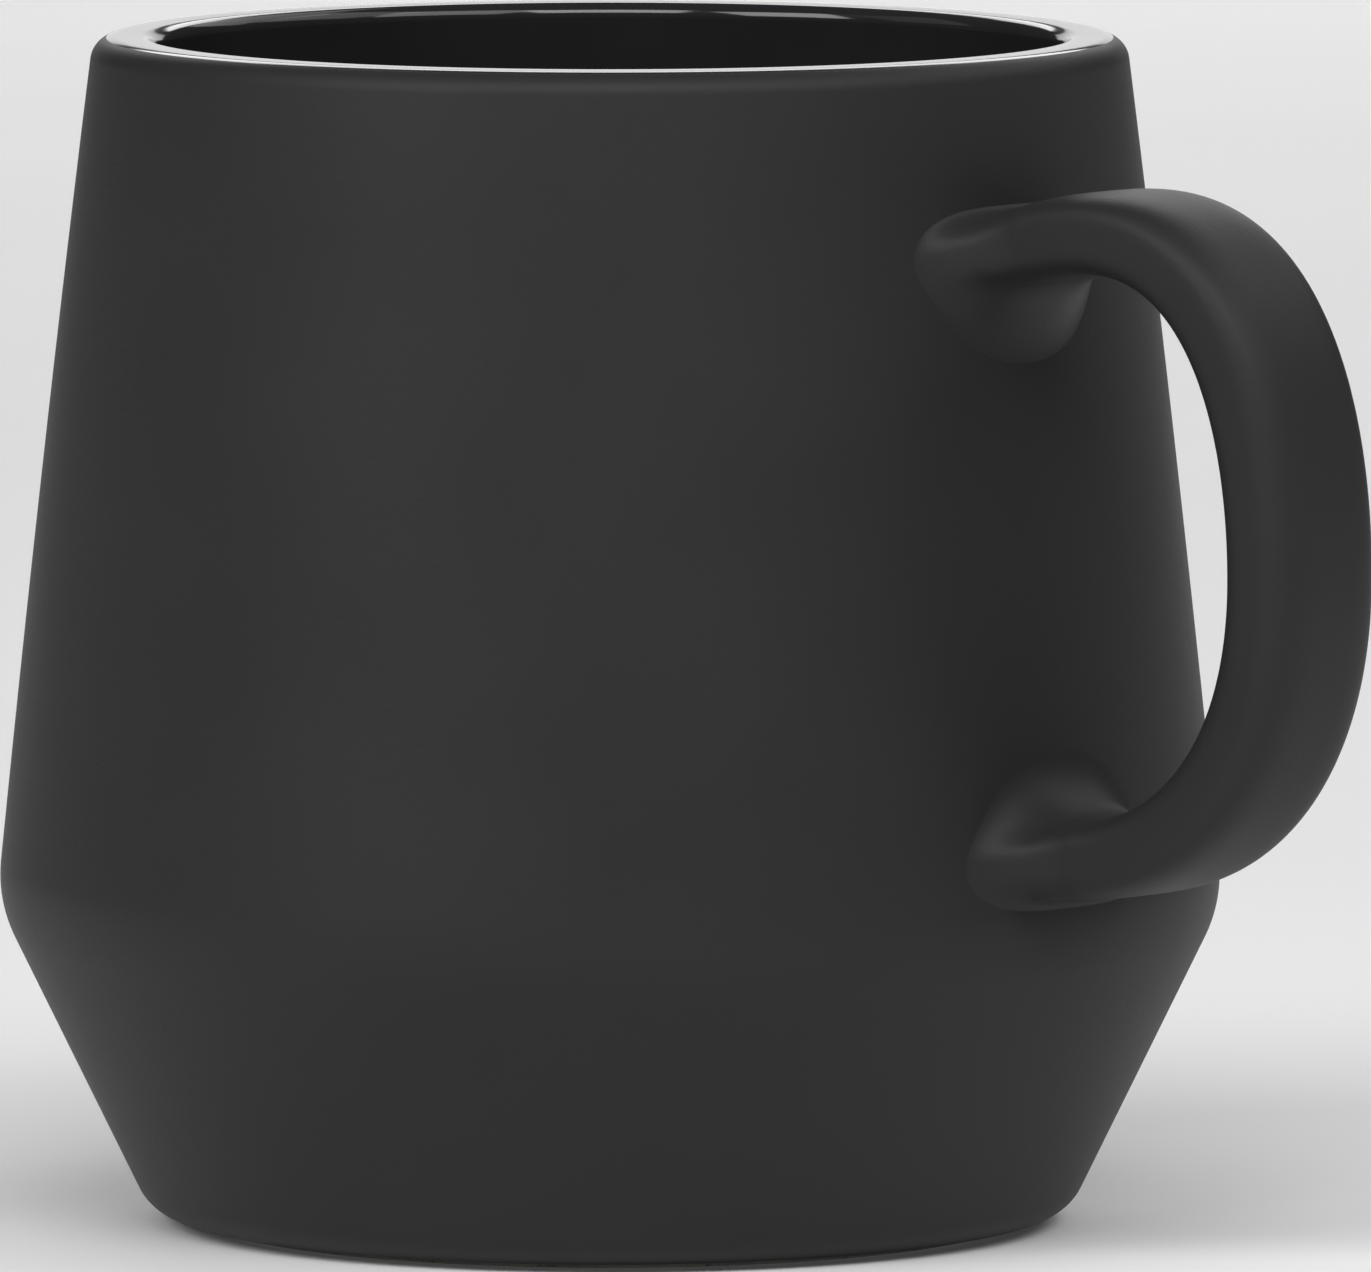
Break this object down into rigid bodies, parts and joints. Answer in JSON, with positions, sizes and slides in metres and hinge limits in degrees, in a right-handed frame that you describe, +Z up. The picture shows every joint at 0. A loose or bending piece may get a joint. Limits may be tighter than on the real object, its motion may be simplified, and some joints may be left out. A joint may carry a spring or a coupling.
{
  "type": "mug",
  "caption": "Stoneware mug with a rounded low shoulder, a tapering foot and a strap handle, matte outside and gloss glazed inside.",
  "frame": {"origin": "under the middle of the mug's outline, on the plane it stands on; the cup's own axis is 13.65 mm toward -X", "axes": "+Z up along the cup's axis, +X from the cup toward the handle, the handle's loop in the XZ plane"},
  "size_m": [0.1266, 0.0994, 0.0968],
  "materials": {
    "stoneware_clay": "bare fired clay, rough",
    "matte_charcoal_glaze": "matte to satin, faint grain",
    "gloss_black_glaze": "high gloss, smooth"
  },
  "bodies": {
    "root": {"cup_body": "stoneware_clay", "exterior_matte_glaze": "matte_charcoal_glaze", "interior_gloss_glaze": "gloss_black_glaze", "underside_matte_glaze": "matte_charcoal_glaze", "handle_strap": "stoneware_clay", "handle_matte_glaze": "matte_charcoal_glaze", "upper_handle_joint": "matte_charcoal_glaze", "lower_handle_joint": "matte_charcoal_glaze"}
  },
  "joints": []
}
